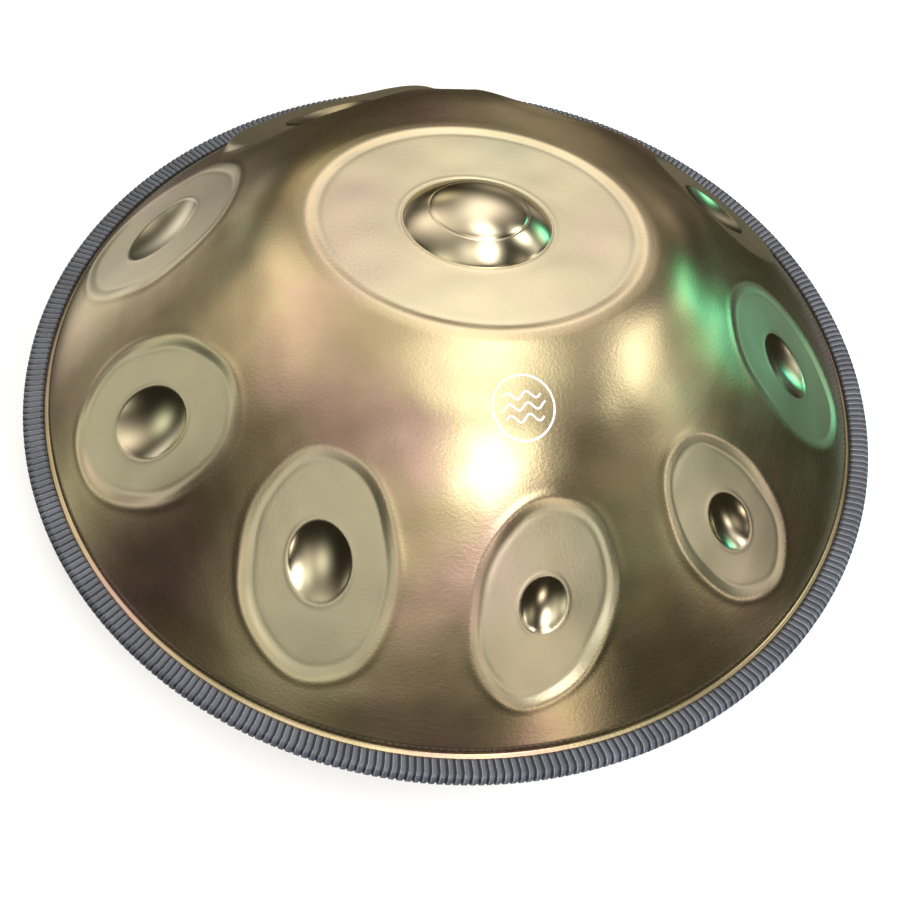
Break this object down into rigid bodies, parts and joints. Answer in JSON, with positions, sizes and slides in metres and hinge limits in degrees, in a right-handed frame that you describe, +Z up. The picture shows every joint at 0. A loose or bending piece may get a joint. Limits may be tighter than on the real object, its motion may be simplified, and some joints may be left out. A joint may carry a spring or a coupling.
{
  "type": "handpan",
  "caption": "Steel handpan: two glued shells with a raised central note, a ring of dimpled tone fields, an open sound port below and a braided rope over the rim.",
  "frame": {"origin": "on the instrument's axis, on the plane that its foot ring stands on", "axes": "+Z up along the axis through the central note, -Y towards the player, +X to the player's right"},
  "size_m": [0.56, 0.56, 0.2543],
  "materials": {
    "shell_steel": "champagne-gold heat-tinted satin with fine brushing",
    "rim_rope": "blue-grey braided rope",
    "glue": "black satin",
    "mark_ink": "off-white print"
  },
  "bodies": {
    "root": {"upper_shell": "shell_steel", "lower_shell": "shell_steel", "flange_adhesive": "glue", "rope_adhesive": "glue", "rim_rope": "rim_rope"}
  },
  "joints": []
}
